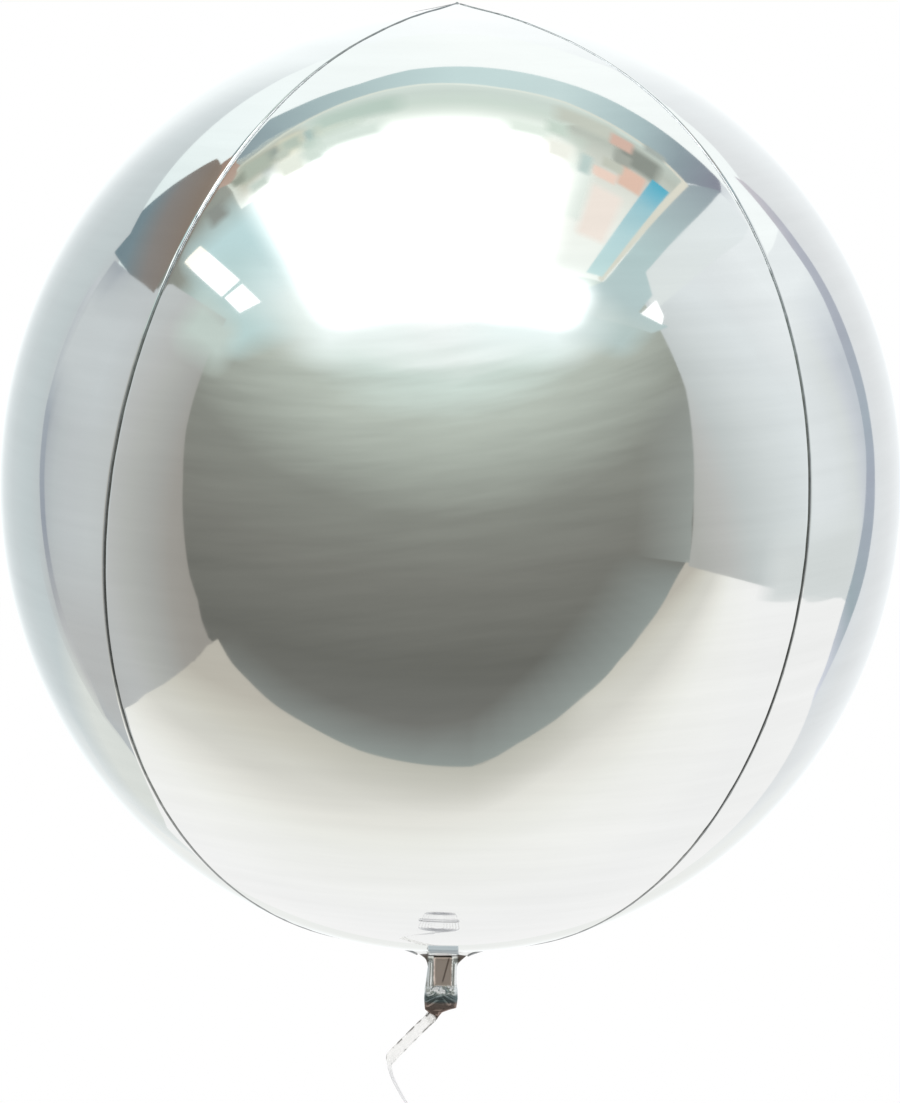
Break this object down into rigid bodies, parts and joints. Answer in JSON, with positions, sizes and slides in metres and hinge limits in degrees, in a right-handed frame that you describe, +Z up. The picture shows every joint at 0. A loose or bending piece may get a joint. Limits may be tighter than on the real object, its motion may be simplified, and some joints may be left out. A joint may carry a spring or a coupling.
{
  "type": "round foil balloon",
  "caption": "Round mirror-silver foil balloon of welded gores, with a filling tail below and a clear curling ribbon tied to it.",
  "frame": {"origin": "middle of the inflated envelope, on its upright axis at the height of its widest ring, where the surrounding air carries it", "axes": "+Z up through the tip, -Y out through the middle of the front gore, +X to the right seen from the front"},
  "size_m": [0.3824, 0.3824, 0.5974],
  "materials": {
    "mirror_film": "mirror-bright metallised film, taut",
    "heat_weld": "darker pressed edge of two films welded together",
    "tail_film": "the same film, slack and creased",
    "clear_ribbon": "clear curling ribbon with fine lengthwise ribs"
  },
  "bodies": {
    "envelope": {"gore_front": "mirror_film", "gore_right": "mirror_film", "gore_back": "mirror_film", "gore_left": "mirror_film", "seam_front_left": "heat_weld", "seam_front_right": "heat_weld", "seam_back_right": "heat_weld", "seam_back_left": "heat_weld", "tip_weld": "heat_weld", "neck_funnel": "tail_film"},
    "tail": {"tail_tube": "tail_film", "tail_crumple": "tail_film", "tail_end": "tail_film", "ribbon_knot": "clear_ribbon"},
    "ribbon": {"ribbon_run": "clear_ribbon", "ribbon_hank": "clear_ribbon", "hank_band": "clear_ribbon"}
  },
  "joints": [
    {"name": "tail_bend", "type": "hinge", "parent": "envelope", "child": "tail", "pos_m": [-0.0008, 0, -0.2086], "axis": [1, 0, 0], "range_deg": [-45, 45]},
    {"name": "ribbon_swing", "type": "hinge", "parent": "tail", "child": "ribbon", "pos_m": [-0.0055, 0, -0.2349], "axis": [0, 1, 0], "range_deg": [-35, 35]}
  ]
}
